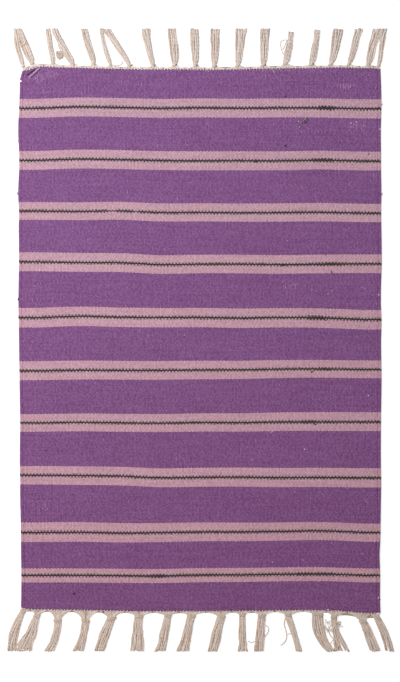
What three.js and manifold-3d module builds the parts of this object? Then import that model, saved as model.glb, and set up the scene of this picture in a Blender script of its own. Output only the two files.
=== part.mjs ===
// Kilim rug: one flat weft-faced cloth, with its warp ends knotted into tassels at both ends.
// Sizes are in millimetres. The rug lies on the plane z = 0, with X across it and Y along it.
// The origin is the middle of the cloth's underside. Its head is at +Y and its foot at -Y.

import * as THREE from 'three';
import { mergeVertices } from 'three/addons/utils/BufferGeometryUtils.js';
import Module from 'manifold-3d';

const wasm = await Module();
wasm.setup();

// The cloth. Each warp is covered by the weft and shows as a rib along the whole length.
const CLOTH_LENGTH = 900;
const CLOTH_THICKNESS = 3;
const WARP_COUNT = 218;
const RIB_DEPTH = 0.4;
const EDGE_HEIGHT = 1.8;
const EDGE_ROUNDING = 1.5;

// Where the two selvedges run, at places along the cloth.
const SELVEDGES = [
  { y: -450, left: -297, right: 299 },
  { y: -130, left: -299, right: 300 },
  { y: 150, left: -301.5, right: 300.5 },
  { y: 427, left: -300, right: 300.5 },
  { y: 450, left: -296, right: 299.5 },
];

// Where the last pick runs at the head and at the foot, at places across the cloth.
const LAST_PICKS = [
  { x: -297, head: 447.5, foot: -444.5 },
  { x: -288, head: 448.7, foot: -447.3 },
  { x: -276, head: 452.5, foot: -448 },
  { x: -266, head: 455, foot: -448.2 },
  { x: -233, head: 453.7, foot: -448.4 },
  { x: -167, head: 452, foot: -450.2 },
  { x: -100, head: 450.2, foot: -451.4 },
  { x: -34, head: 450.7, foot: -451.2 },
  { x: 33, head: 450.3, foot: -451.3 },
  { x: 99, head: 452.2, foot: -450.2 },
  { x: 165, head: 453.2, foot: -449.4 },
  { x: 232, head: 454.3, foot: -450 },
  { x: 265, head: 453.5, foot: -452.5 },
  { x: 287, head: 452.7, foot: -453.8 },
  { x: 300, head: 451, foot: -452.4 },
];

// A crease crosses the left corner of the head as a soft trough.
const CREASE = { x: -278.5, y: 443, length: 34, width: 3.6, depth: 0.9, turn: 40 };

// The fringes. A strip of gathered warp ends runs along each end, a little off the last pick.
const STRIP_GAP = 0.3;
const STRIP_THICKNESS = 2;
const SCALLOP_STEPS = 6;
const SCALLOP_SHARPNESS = 2.5;

// A knot is a low dome over the roots of its tassel.
const KNOT_SIDES = 8;
const KNOT_HEIGHT = 5;
const KNOT_LENGTH = 7;
const KNOT_OVERHANG = 1.6;
const KNOT_PROFILE = [
  { radius: 0, height: 0 },
  { radius: 1, height: 0 },
  { radius: 0.65, height: 1 },
  { radius: 0, height: 1 },
];

// The strands of a tassel lie side by side, each one with a flat foot and a narrower top.
// Fill and drift are shares of one strand's room across, and stagger is a share of its length.
const STRAND_HEIGHT = 1.8;
const STRAND_HEIGHT_CHANGE = 0.25;
const STRAND_STEPS = 4;
const STRAND_FILL = 0.7;
const STRAND_TOP = 0.55;
const STRAND_DRIFT = 0.08;
const STRAND_BENDS = 2;
const TIP_STAGGER = 0.027;
const UNEVEN_STEP = 2.4;

// One row for each tassel, from left to right. knot, middle and tip are its places across the
// rug, and grip, belly and fan are its widths there. drop is the way from the last pick out to
// the knot, and arch the strip's depth half way to the next tassel.
const HEAD_TASSELS = [
  { knot: -293, drop: 6, arch: 6, grip: 6.5, middle: -302.5, belly: 8, tip: -308.5, fan: 6, strands: 4 },
  { knot: -278, drop: 7, arch: 4.5, grip: 10, middle: -288, belly: 14.5, tip: -300, fan: 7, strands: 7 },
  { knot: -243.5, drop: 5.5, arch: 3.8, grip: 9, middle: -248, belly: 9, tip: -252, fan: 6.5, strands: 5 },
  { knot: -211, drop: 5.5, arch: 3.8, grip: 11, middle: -227, belly: 11.5, tip: -238, fan: 11.5, strands: 6 },
  { knot: -176, drop: 6.5, arch: 3.6, grip: 8, middle: -184.5, belly: 9, tip: -192.5, fan: 11, strands: 5 },
  { knot: -148, drop: 6, arch: 3.8, grip: 7, middle: -159, belly: 6.5, tip: -166, fan: 5, strands: 4 },
  { knot: -116.5, drop: 5.5, arch: 3.8, grip: 8.5, middle: -136, belly: 9, tip: -154, fan: 15, strands: 6 },
  { knot: -77.5, drop: 5.5, arch: 3.6, grip: 8, middle: -86, belly: 10.5, tip: -89.5, fan: 14.5, strands: 6 },
  { knot: -42, drop: 6, arch: 3.6, grip: 8.5, middle: -44, belly: 15.5, tip: -48, fan: 12.5, strands: 7 },
  { knot: -7.5, drop: 5.5, arch: 3.8, grip: 7.5, middle: -9, belly: 13.5, tip: -11, fan: 11, strands: 6 },
  { knot: 24, drop: 4.5, arch: 4.8, grip: 7.5, middle: 24, belly: 14.5, tip: 26, fan: 13, strands: 7 },
  { knot: 63, drop: 5, arch: 4.2, grip: 8.5, middle: 65, belly: 14.5, tip: 68, fan: 17.5, strands: 7 },
  { knot: 105, drop: 4.5, arch: 4.6, grip: 9, middle: 106.5, belly: 14, tip: 108.5, fan: 16.5, strands: 7 },
  { knot: 142, drop: 6.5, arch: 4, grip: 10, middle: 146.5, belly: 9.5, tip: 151.5, fan: 8, strands: 5 },
  { knot: 185, drop: 4.5, arch: 3.8, grip: 11, middle: 190.5, belly: 9.5, tip: 195, fan: 8.5, strands: 5 },
  { knot: 217, drop: 4, arch: 3.8, grip: 8, middle: 224, belly: 13, tip: 229.5, fan: 18, strands: 6 },
  { knot: 247.5, drop: 4.5, arch: 3.8, grip: 8, middle: 256, belly: 9.5, tip: 263, fan: 9, strands: 5 },
  { knot: 281, drop: 5, arch: 4.5, grip: 7.5, middle: 287, belly: 10, tip: 299, fan: 8, strands: 5 },
  { knot: 297, drop: 5, arch: 4, grip: 7, middle: 300.5, belly: 7, tip: 308, fan: 5, strands: 4 },
];
const FOOT_TASSELS = [
  { knot: -298.5, drop: 10, arch: 5, grip: 9, middle: -312, belly: 14, tip: -312.5, fan: 10.5, strands: 7 },
  { knot: -273.5, drop: 9.5, arch: 4, grip: 9.5, middle: -283.5, belly: 18, tip: -293, fan: 21, strands: 8 },
  { knot: -235, drop: 17, arch: 4, grip: 12, middle: -239, belly: 9.5, tip: -250, fan: 16, strands: 7 },
  { knot: -190, drop: 17, arch: 4, grip: 13, middle: -194, belly: 10, tip: -202, fan: 16.5, strands: 7 },
  { knot: -149, drop: 12, arch: 3.6, grip: 13, middle: -160, belly: 15, tip: -169, fan: 17.5, strands: 7 },
  { knot: -102, drop: 8, arch: 3.2, grip: 14, middle: -104.5, belly: 17.5, tip: -104, fan: 23, strands: 8 },
  { knot: -54, drop: 6, arch: 3.6, grip: 11.5, middle: -60.5, belly: 14, tip: -67.5, fan: 16, strands: 7 },
  { knot: -14.5, drop: 6.5, arch: 3.2, grip: 13, middle: -21.5, belly: 14, tip: -28.5, fan: 20, strands: 7 },
  { knot: 35.5, drop: 8, arch: 3.2, grip: 13, middle: 28.5, belly: 15, tip: 21, fan: 14.5, strands: 7 },
  { knot: 69.5, drop: 5.5, arch: 3.8, grip: 10, middle: 69.5, belly: 12, tip: 70, fan: 17, strands: 6 },
  { knot: 103, drop: 7.5, arch: 3.2, grip: 11.5, middle: 100, belly: 12.5, tip: 97.5, fan: 13, strands: 6 },
  { knot: 147, drop: 7, arch: 3, grip: 10, middle: 156, belly: 8, tip: 164.5, fan: 8, strands: 4 },
  { knot: 195.5, drop: 5.5, arch: 4, grip: 16, middle: 200, belly: 18, tip: 217, fan: 12, strands: 7 },
  { knot: 223, drop: 9.5, arch: 6.8, grip: 8.5, middle: 227.5, belly: 11.5, tip: 236, fan: 21, strands: 6 },
  { knot: 270, drop: 14, arch: 6.8, grip: 11.5, middle: 281, belly: 14.5, tip: 291.5, fan: 14.5, strands: 7 },
  { knot: 294.5, drop: 8, arch: 5, grip: 10, middle: 305.5, belly: 12, tip: 314.5, fan: 13.5, strands: 7 },
];

// Each end of the rug: which way it points, how far its tassels reach, and their rows.
const HEAD = { pick: 'head', outward: 1, middles: 487, tips: 518, tassels: HEAD_TASSELS };
const FOOT = { pick: 'foot', outward: -1, middles: -488, tips: -517, tassels: FOOT_TASSELS };

const PURPLE_COTTON = new THREE.MeshStandardMaterial({ color: 0x835786, roughness: 0.95, metalness: 0 });
const CREAM_COTTON = new THREE.MeshStandardMaterial({ color: 0xd8c7b4, roughness: 0.95, metalness: 0 });

// Corners of one solid nearer to each other than this are one corner.
const MERGE_DISTANCE = 1e-4;

const { lerp, clamp, degToRad } = THREE.MathUtils;

// The value of a table's column at a place between its rows.
function readTable(rows, place, column, at) {
  const next = clamp(rows.findIndex((row) => row[place] >= at), 1, rows.length - 1);
  const last = rows[rows.length - 1];
  const [before, after] = at > last[place] ? [last, last] : [rows[next - 1], rows[next]];
  const span = after[place] - before[place] || 1;
  return lerp(before[column], after[column], clamp((at - before[place]) / span, 0, 1));
}

// A place on the cloth seen from above: across runs from 0 to 1, and along is Y before the
// ends are bent to their last picks.
function clothPoint(across, along) {
  const left = readTable(SELVEDGES, 'y', 'left', along);
  const right = readTable(SELVEDGES, 'y', 'right', along);
  const x = lerp(left, right, across);
  const foot = readTable(LAST_PICKS, 'x', 'foot', x);
  const head = readTable(LAST_PICKS, 'x', 'head', x);
  return new THREE.Vector2(x, lerp(foot, head, along / CLOTH_LENGTH + 0.5));
}

// The last pick at one end, from the left selvedge to the right.
function lastPickPoints(end) {
  const along = end.outward * CLOTH_LENGTH / 2;
  const left = clothPoint(0, along).x;
  const right = clothPoint(1, along).x;
  const between = LAST_PICKS.slice(1, -1).map((row) => (row.x - left) / (right - left));
  return [0, ...between, 1].map((across) => clothPoint(across, along));
}

// A surface that is put together from numbered points.
class Surface {
  constructor() {
    this.coordinates = [];
    this.triangles = [];
  }

  point(place, height) {
    this.coordinates.push(place.x, place.y, height);
    return this.coordinates.length / 3 - 1;
  }

  x(point) {
    return this.coordinates[3 * point];
  }

  quad(a, b, c, d) {
    this.triangles.push(a, b, c, a, c, d);
  }

  geometry() {
    const geometry = new THREE.BufferGeometry();
    geometry.setAttribute('position', new THREE.Float32BufferAttribute(this.coordinates, 3));
    geometry.setIndex(this.triangles);
    return geometry;
  }
}

// One row of points across the cloth, up and down over the ribs. The ribs stop a little short
// of the last picks.
function ribRow(surface, station) {
  const limit = CLOTH_LENGTH / 2 - EDGE_ROUNDING;
  const along = clamp(station, -limit, limit);
  const last = 2 * WARP_COUNT;
  const row = [];
  for (let i = 0; i <= last; i += 1) {
    const onSelvedge = i === 0 || i === last;
    const onRib = i % 2 === 1;
    const height = onRib ? CLOTH_THICKNESS : CLOTH_THICKNESS - RIB_DEPTH;
    row.push(surface.point(clothPoint(i / last, along), onSelvedge ? EDGE_HEIGHT : height));
  }
  return row;
}

// Triangles between a row of ribs and the sparse row of points on the last pick.
function closeEnd(surface, ribs, edge, outward) {
  let i = 0;
  let j = 0;
  while (i < ribs.length - 1 || j < edge.length - 1) {
    const ribsLeft = i < ribs.length - 1;
    const edgeLeft = j < edge.length - 1;
    const onRibs = !edgeLeft || (ribsLeft && surface.x(ribs[i + 1]) <= surface.x(edge[j + 1]));
    const triangle = onRibs ? [ribs[i], ribs[i + 1], edge[j]] : [ribs[i], edge[j + 1], edge[j]];
    surface.triangles.push(...(outward > 0 ? triangle : triangle.reverse()));
    i += onRibs ? 1 : 0;
    j += onRibs ? 0 : 1;
  }
}

// Side walls below a closed rim, and the flat underside inside them.
function closeBelow(surface, rim) {
  const contour = rim.map((point) => new THREE.Vector2().fromArray(surface.coordinates, 3 * point));
  const floor = contour.map((place) => surface.point(place, 0));
  for (let i = 0; i < rim.length; i += 1) {
    const next = (i + 1) % rim.length;
    surface.quad(floor[i], floor[next], rim[next], rim[i]);
  }
  for (const [a, b, c] of THREE.ShapeUtils.triangulateShape(contour, [])) {
    surface.triangles.push(floor[a], floor[c], floor[b]);
  }
}

function clothSurface() {
  const surface = new Surface();
  const rows = SELVEDGES.map(({ y }) => ribRow(surface, y));
  for (let j = 0; j < rows.length - 1; j += 1) {
    for (let i = 0; i < rows[j].length - 1; i += 1) {
      surface.quad(rows[j][i], rows[j][i + 1], rows[j + 1][i + 1], rows[j + 1][i]);
    }
  }
  const foot = lastPickPoints(FOOT).map((place) => surface.point(place, EDGE_HEIGHT));
  const head = lastPickPoints(HEAD).map((place) => surface.point(place, EDGE_HEIGHT));
  closeEnd(surface, rows.at(0), foot, FOOT.outward);
  closeEnd(surface, rows.at(-1), head, HEAD.outward);
  const leftSide = rows.map((row) => row.at(0)).reverse();
  const rightSide = rows.map((row) => row.at(-1));
  closeBelow(surface, [...foot, ...rightSide, ...head.reverse(), ...leftSide]);
  return surface.geometry();
}

function creaseTrough() {
  const trough = new THREE.OctahedronGeometry(1);
  trough.scale(CREASE.length / 2, CREASE.width / 2, CREASE.depth);
  trough.rotateZ(degToRad(CREASE.turn));
  trough.translate(CREASE.x, CREASE.y, CLOTH_THICKNESS);
  return trough;
}

// The strip between the last pick and the knots: its outer edge hangs in a scallop from each
// knot to the next.
function gatheredStrip(end) {
  const inner = lastPickPoints(end);
  inner.forEach((point) => { point.y += end.outward * STRIP_GAP; });
  const outer = [];
  const { tassels } = end;
  for (let i = 0; i < tassels.length - 1; i += 1) {
    for (let step = 0; step < SCALLOP_STEPS; step += 1) {
      const way = step / SCALLOP_STEPS;
      const x = lerp(tassels[i].knot, tassels[i + 1].knot, way);
      const pull = Math.abs(2 * way - 1) ** SCALLOP_SHARPNESS;
      const drop = lerp(tassels[i].drop, tassels[i + 1].drop, way);
      outer.push(outwardPoint(end, x, lerp(tassels[i].arch, drop, pull)));
    }
  }
  outer.push(outwardPoint(end, tassels.at(-1).knot, tassels.at(-1).drop));
  const outline = new THREE.Shape([...inner, ...outer.reverse()]);
  return new THREE.ExtrudeGeometry(outline, { depth: STRIP_THICKNESS, bevelEnabled: false });
}

// A place some way beyond the last pick.
function outwardPoint(end, x, distance) {
  return new THREE.Vector2(x, readTable(LAST_PICKS, 'x', end.pick, x) + end.outward * distance);
}

function knot(end, tassel) {
  const profile = KNOT_PROFILE.map(({ radius, height }) => new THREE.Vector2(radius, height));
  const dome = new THREE.LatheGeometry(profile, KNOT_SIDES);
  dome.rotateX(Math.PI / 2);
  dome.scale((tassel.grip + KNOT_OVERHANG) / 2, KNOT_LENGTH / 2, KNOT_HEIGHT);
  const place = outwardPoint(end, tassel.knot, tassel.drop);
  dome.translate(place.x, place.y, 0);
  return dome;
}

// The left or right edge of a tassel, from its knot to its tips.
function tasselEdge(end, tassel, side) {
  const knotY = outwardPoint(end, tassel.knot, tassel.drop).y;
  return new THREE.CatmullRomCurve3([
    new THREE.Vector3(tassel.knot + side * tassel.grip / 2, knotY, 0),
    new THREE.Vector3(tassel.middle + side * tassel.belly / 2, end.middles, 0),
    new THREE.Vector3(tassel.tip + side * tassel.fan / 2, end.tips, 0),
  ]);
}

// A steady unevenness between -1 and 1.
function uneven(index, seed) {
  return Math.sin(UNEVEN_STEP * index + seed);
}

// One strand: a segmented box whose cross-sections are laid along the tassel.
function strand(tassel, edges, index) {
  const box = new THREE.BoxGeometry(1, 1, 1, 1, STRAND_STEPS, 1);
  const places = box.attributes.position;
  const height = STRAND_HEIGHT + STRAND_HEIGHT_CHANGE * uneven(index, tassel.knot);
  const reach = 1 - TIP_STAGGER * Math.abs(uneven(index, tassel.tip));
  for (let i = 0; i < places.count; i += 1) {
    const onTop = places.getZ(i) > 0;
    const along = (places.getY(i) + 0.5) * reach;
    const drift = STRAND_DRIFT * along * uneven(index + STRAND_BENDS * along, tassel.middle);
    const width = STRAND_FILL * (onTop ? STRAND_TOP : 1);
    const across = (index + 0.5 + drift + places.getX(i) * width) / tassel.strands;
    const place = edges[0].getPoint(along).lerp(edges[1].getPoint(along), across);
    places.setXYZ(i, place.x, place.y, onTop ? height : 0);
  }
  return box;
}

function tasselPieces(end, tassel) {
  const edges = [tasselEdge(end, tassel, -1), tasselEdge(end, tassel, 1)];
  const strands = Array.from({ length: tassel.strands }, (_, index) => strand(tassel, edges, index));
  return [knot(end, tassel), ...strands];
}

// A geometry as a solid, its faces turned outward where a mirrored layout turned them in.
function toSolid(geometry) {
  const bare = geometry.clone();
  bare.deleteAttribute('normal');
  bare.deleteAttribute('uv');
  const merged = mergeVertices(bare, MERGE_DISTANCE);
  const triVerts = new Uint32Array(merged.index.array);
  if (signedVolume(merged) < 0) {
    triVerts.reverse();
  }
  const vertProperties = new Float32Array(merged.attributes.position.array);
  return new wasm.Manifold(new wasm.Mesh({ numProp: 3, vertProperties, triVerts }));
}

function signedVolume(geometry) {
  const corner = (i) => new THREE.Vector3().fromBufferAttribute(geometry.attributes.position, i);
  const { array } = geometry.index;
  let volume = 0;
  for (let i = 0; i < array.length; i += 3) {
    volume += corner(array[i]).dot(corner(array[i + 1]).cross(corner(array[i + 2])));
  }
  return volume / 6;
}

function toMesh(name, solid, material) {
  const { numProp, vertProperties, triVerts } = solid.getMesh();
  const geometry = new THREE.BufferGeometry();
  geometry.setAttribute('position', new THREE.BufferAttribute(vertProperties, numProp));
  geometry.setIndex(new THREE.BufferAttribute(triVerts, 1));
  geometry.computeVertexNormals();
  const mesh = new THREE.Mesh(geometry, material);
  mesh.name = name;
  return mesh;
}

function cloth() {
  return toMesh('cloth', toSolid(clothSurface()).subtract(toSolid(creaseTrough())), PURPLE_COTTON);
}

function fringe(name, end) {
  const pieces = end.tassels.flatMap((tassel) => tasselPieces(end, tassel));
  const fused = pieces.reduce((solid, piece) => solid.add(toSolid(piece)), toSolid(gatheredStrip(end)));
  return toMesh(name, fused, CREAM_COTTON);
}

const group = new THREE.Group();
group.add(cloth(), fringe('fringe_head', HEAD), fringe('fringe_foot', FOOT));

export default group;
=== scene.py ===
"""A small kilim rug: a striped weft-faced cloth with knotted tassels at both ends.

Lengths are in millimetres until a mesh is made. X runs across the rug, Y along it from the
foot to the head, and Z up from the floor.
"""

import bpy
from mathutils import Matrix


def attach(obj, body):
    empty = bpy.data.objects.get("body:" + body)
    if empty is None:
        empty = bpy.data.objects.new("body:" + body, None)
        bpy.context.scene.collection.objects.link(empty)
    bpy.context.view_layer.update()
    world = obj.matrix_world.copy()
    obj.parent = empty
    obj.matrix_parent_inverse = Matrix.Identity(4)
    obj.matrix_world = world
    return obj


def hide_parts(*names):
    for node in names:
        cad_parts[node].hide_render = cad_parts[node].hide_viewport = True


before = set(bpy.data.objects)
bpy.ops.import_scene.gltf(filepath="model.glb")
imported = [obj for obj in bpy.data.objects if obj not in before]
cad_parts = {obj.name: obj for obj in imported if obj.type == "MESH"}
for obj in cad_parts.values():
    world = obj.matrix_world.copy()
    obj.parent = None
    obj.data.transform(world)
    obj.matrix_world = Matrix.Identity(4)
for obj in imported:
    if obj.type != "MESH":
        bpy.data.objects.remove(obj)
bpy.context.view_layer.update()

import math
import random
from functools import partialmethod, reduce

import bpy
import numpy as np
from mathutils import Vector

MM = 0.001


def table(columns, *rows):
    """The rows of a table, each by the names of its columns."""
    return [dict(zip(columns.split(), row)) for row in rows]


# The cloth: ribs over the warps, crossed by the picks of the weft.
RIBS = 218
PICK = 1.25
CREST = 3.0
VALLEY = 2.8
EDGE_TOP = 1.7
EDGE_MIDDLE = 0.6
COLUMNS_PER_RIB = 4
UNDERSIDE_STEP = 8
UNDERSIDE_INSET = (0.8, 1.2)
HEAD_END = 451.2
FOOT_END = -451.2
HALF_LENGTH = 450.0
FRINGE_START = 451
# The last rows of the weave bend with the last pick, over this stretch.
BENT_TO = 452
BENT_STRETCH = 27
GROOVES = (2, 216)
GROOVE_DEPTH = 0.35
GROOVE_HALF = 0.35
END_TOOTH = 0.9
ATLAS_LENGTH = 920
ATLAS_WIDTH = 608

# Where the two selvedges run.
SELVEDGES = table(
    "y left right",
    (452, -295.5, 299),
    (444, -297.3, 299.3),
    (436, -299.4, 299.6),
    (419, -299.9, 300.2),
    (394, -300.9, 300.7),
    (344, -302.7, 299.6),
    (311, -301.2, 300),
    (284, -301.2, 300),
    (244, -302.8, 300.7),
    (211, -301.4, 300.2),
    (186, -301.9, 300.6),
    (161, -301.4, 301),
    (128, -301.5, 301.2),
    (95, -302, 300.1),
    (62, -302.4, 299.7),
    (34, -302, 300.8),
    (-5, -301.3, 300),
    (-54, -300.7, 300.8),
    (-137, -299.5, 299.9),
    (-204, -300, 299.7),
    (-237, -299.5, 300.3),
    (-261, -299.4, 299.9),
    (-303, -298.4, 299.3),
    (-330, -298.2, 299),
    (-353, -298, 297.6),
    (-386, -297.5, 298.6),
    (-436, -297.8, 298.5),
    (-452, -298.1, 299.3),
)

# Where the last pick runs at the head and at the foot.
LAST_PICKS = table(
    "x head foot",
    (-297, 447.5, -444),
    (-288, 448.7, -446.8),
    (-276, 452.5, -447.4),
    (-266, 454.8, -447.6),
    (-233, 453.4, -447.7),
    (-167, 451.6, -449),
    (-100, 449.9, -450.5),
    (-34, 450.2, -450.4),
    (33, 449.4, -450.1),
    (99, 451.1, -449.5),
    (165, 452.3, -448.5),
    (232, 453.2, -449.6),
    (265, 452.5, -453),
    (287, 452, -453.8),
    (300, 450.6, -452.4),
)

# The bands, from head to foot. line is where the dark line runs at the stations across the rug.
# above and below are the widths of the two pink stripes on the left, in the middle and on the
# right, and picks is how many picks each of them has.
STATIONS = (-272, -199, -133, -66, 0, 67, 133, 199, 272)
WIDTH_STATIONS = (-205, 0, 205)
BANDS = table(
    "picks above below line",
    (12, (15.6, 15.6, 15.6), (15.9, 15.9, 16),
     (385, 387.3, 386.3, 385, 385.8, 385.2, 385.7, 385.7, 384.2)),
    (12, (15.7, 15.9, 15.8), (15.6, 15.8, 15.3),
     (298.5, 300.7, 299.8, 298.2, 297.8, 297.8, 297.8, 298.7, 297.2)),
    (12, (15, 15.5, 15.6), (14.3, 14.6, 14.9),
     (214.3, 213.8, 214.5, 211.8, 212, 211.5, 211.7, 212.3, 210.8)),
    (12, (16.2, 15.7, 16), (15.3, 15.2, 14.8),
     (130, 128.8, 128.5, 125.3, 126.2, 126.2, 125.3, 126, 126.5)),
    (12, (16.2, 16, 15.7), (16.4, 16.5, 17.1),
     (37.3, 39.8, 38.3, 37.7, 37.8, 36.8, 37.7, 37.2, 34.3)),
    (12, (16.2, 15.4, 15.1), (15.3, 15.4, 14.1),
     (-51.2, -50, -50.2, -50.2, -49.5, -49.3, -48.2, -47.8, -48.7)),
    (12, (14.6, 15.7, 16.9), (14.7, 14.6, 14.2),
     (-137.3, -136.5, -137.2, -137.8, -137, -137.2, -136.2, -136.2, -136.3)),
    (12, (15.5, 16, 16.2), (15.2, 15.7, 15.9),
     (-224.2, -224.8, -225.7, -228.5, -227.7, -227.5, -228.2, -228, -228.7)),
    (12, (17.2, 16.2, 14.6), (15.6, 15.2, 15.2),
     (-319.5, -319, -320.3, -319.7, -318.5, -318.3, -317.5, -316.5, -319.2)),
    (9, (11.3, 11.3, 11.3), (12.2, 12, 11.7),
     (-390.2, -390.2, -390.8, -391.2, -389.7, -389.5, -388.5, -388.2, -390.3)),
)

# A small notch in the left selvedge, which pulls in the ribs beside it.
NOTCH = {"y": 431, "depth": 3.8, "half": 1.3, "ribs": 6}

# The crease in the left corner of the head, and its folds. side is how far a fold lies to the
# left of the crease's middle, and lean how much of that changes along it.
CREASE = {"x": -276, "y": 444, "turn": 43.4}
# look names a fold's colour: the pale one is bare warp, and the other two are painted shadow.
FOLDS = table(
    "look side lean from to half height",
    ("pale", 0, 0, -13, 13, 1.2, 0.3),
    ("dark", -2.3, 0, -11, 13, 1.0, -0.6),
    ("black", 3.5, -0.14, -13, 5, 1.3, -0.8),
)

# One row for each tassel, from left to right. knot, middle and tip are its places across the
# rug, and grip, belly and fan are its widths there. drop is the way from the last pick out to
# the knot, arch the depth of the gathered warps half way to the next tassel, and short how much
# the tassel lacks in length.
TASSEL_COLUMNS = "knot drop arch grip middle belly tip fan short"
HEAD_TASSELS = table(
    TASSEL_COLUMNS,
    (-293, 6, 6, 7, -303.5, 8.5, -308, 5, 0),
    (-278, 7, 4.5, 9.5, -290.5, 14.5, -302, 8, 0),
    (-243.5, 5.5, 3.8, 8.5, -249, 9, -253.5, 7, 0),
    (-211, 5.5, 3.8, 11.5, -228, 12.5, -242.5, 10, 0),
    (-176, 6.5, 3.6, 9, -185, 11.5, -194, 11.5, 0),
    (-148, 6, 3.8, 7, -159, 7.5, -164.5, 6, 0),
    (-116.5, 5.5, 3.8, 9, -136.5, 11, -157.5, 13, 0),
    (-77.5, 5.5, 3.6, 9, -86.5, 11, -91, 15, 0),
    (-42, 6, 3.6, 10, -44, 14.5, -48.5, 12, 0),
    (-7.5, 5.5, 3.8, 8.5, -9, 13, -11, 12, 0),
    (24, 4.5, 4.8, 9, 24, 13.5, 24.5, 12, 0),
    (63, 5, 4.2, 9.5, 65, 14, 68, 18, 0),
    (105, 4.5, 4.6, 10, 106, 13.5, 107, 17, 0),
    (142, 6.5, 4, 11, 146.5, 11, 151.5, 9.5, 5.5),
    (185, 4.5, 3.8, 11, 190, 11, 195, 10.5, 2),
    (217, 4, 3.8, 9.5, 224, 13.5, 228.5, 15, 0),
    (247.5, 4.5, 3.8, 8.5, 255.5, 11.5, 263.5, 13, 0),
    (280, 5, 4.5, 10.5, 286, 13.5, 297.5, 17, 0),
    (297, 5, 4, 7.5, 300.5, 8, 306, 8, 0),
)
FOOT_TASSELS = table(
    TASSEL_COLUMNS,
    (-294.5, 4.5, 4, 8.5, -310, 15.5, -313, 13, 0),
    (-271.5, 9.5, 4, 11, -282, 19, -295, 27, 0),
    (-237, 17, 4, 13, -239.5, 12.5, -252.5, 18, 0),
    (-190.5, 17, 4, 13.5, -194.5, 13.5, -203.5, 19, 0),
    (-148, 12, 3.6, 15, -159, 17.5, -169, 18, 0),
    (-102, 8, 3.2, 14.5, -104.5, 18, -104, 24, 0),
    (-54, 6, 3.6, 12, -60.5, 15, -67.5, 17.5, 0),
    (-15, 6.5, 3.2, 14, -22.5, 15.5, -29.5, 21, 0),
    (34.5, 8, 3.2, 14, 27, 16.5, 20, 16.5, 0),
    (69.5, 5.5, 3.8, 10.5, 69.5, 12, 70, 17, 0),
    (102, 7.5, 3.2, 13, 99.5, 14, 97.5, 15, 0),
    (145.5, 7, 3, 11, 155.5, 10, 164, 9, 0),
    (194.5, 5.5, 4, 19, 199, 19.5, 217, 14, 0),
    (221.5, 9.5, 6.8, 10, 226.5, 12, 236, 20, 0),
    (270, 14, 8.2, 13, 280, 16, 291.5, 18, 0),
    (293, 7, 5, 11, 306, 14, 315, 14, 0),
)

# Where a tassel parts: at a place across it, from a share of its length on.
HEAD_PARTINGS = table(
    "tassel at start width",
    (6, -0.4, 0.75, 2),
    (8, -0.1, 0.8, 1.5),
    (9, 0.35, 0.45, 2),
    (10, -0.6, 0.55, 2.4),
    (15, 0.05, 0.45, 2.6),
    (17, -0.8, 0.55, 3),
)
FOOT_PARTINGS = table(
    "tassel at start width",
    (1, -0.1, 0.3, 2),
    (10, 0.1, 0.25, 1.2),
    (13, 0.25, 0.4, 6),
)

# Single yarns that have come loose: how high they lie, how thick they are next to the others,
# and the places they pass.
HEAD_LOOSE_YARNS = table(
    "height thickness places",
    (2.2, 0.8, [(141, 462), (139.8, 470.1), (134.6, 481.7), (134.1, 496.7), (142.9, 498.3),
                (140.4, 490), (136.5, 481.7)]),
    (1.4, 0.8, [(-150, 458), (-143, 455.8), (-136, 456), (-130.5, 459), (-128.5, 464)]),
    (4.6, 0.8, [(-301, 497), (-299, 492), (-294, 490), (-290, 494), (-292, 500), (-297, 502)]),
    (2, 0.8, [(-236, 490), (-234, 484), (-229, 476), (-223, 468)]),
    (3.6, 0.5, [(116, 455), (118.5, 451), (121.5, 446.5), (124, 443)]),
)
FOOT_LOOSE_YARNS = table(
    "height thickness places",
    (1.4, 0.8, [(108, -463), (107.2, -472.1), (113.4, -477.7), (112.2, -484.4), (107.2, -492.4)]),
    (1.4, 0.8, [(97, -492), (91.3, -499.3), (84, -501.8), (78.7, -499.3)]),
    (1.4, 0.9, [(141, -461), (139, -472), (142, -483), (143, -493), (140, -501), (132.8, -506.8)]),
    (2.4, 0.8, [(142.1, -488.5), (148, -487.2), (153.7, -487.7)]),
    (1.6, 0.9, [(222.6, -482.4), (229.9, -489), (238, -502.5), (244.9, -515.8)]),
    (1.4, 0.5, [(-143, -458), (-140, -459.5), (-139.5, -462), (-142, -464)]),
    (2.6, 1, [(-284, -481), (-293, -490), (-301, -501), (-306, -511), (-304, -516)]),
    (1.6, 1, [(-281, -506), (-290, -503), (-298, -507), (-305, -514), (-297, -516), (-288, -512)]),
    (3, 0.9, [(203, -472), (211, -480), (217, -492), (226, -499), (231, -510)]),
    (3.2, 0.9, [(226, -470), (219, -482), (222, -493), (216, -505), (222, -515)]),
)

# Tangles of loose fibre that lie between the tassels.
WADS = table(
    "end x y wide high height thickness yarns tone",
    ("head", -233.5, 474, 14, 17, 1.6, 0.9, 12, 0.8),
    ("foot", -291, -505, 24, 18, 1.4, 1.1, 22, 1),
    ("foot", 214, -474, 22, 34, 1.2, 0.42, 6, 0.2),
    ("foot", 231, -473, 13, 18, 1.2, 0.4, 3, 0.2),
)

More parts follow.
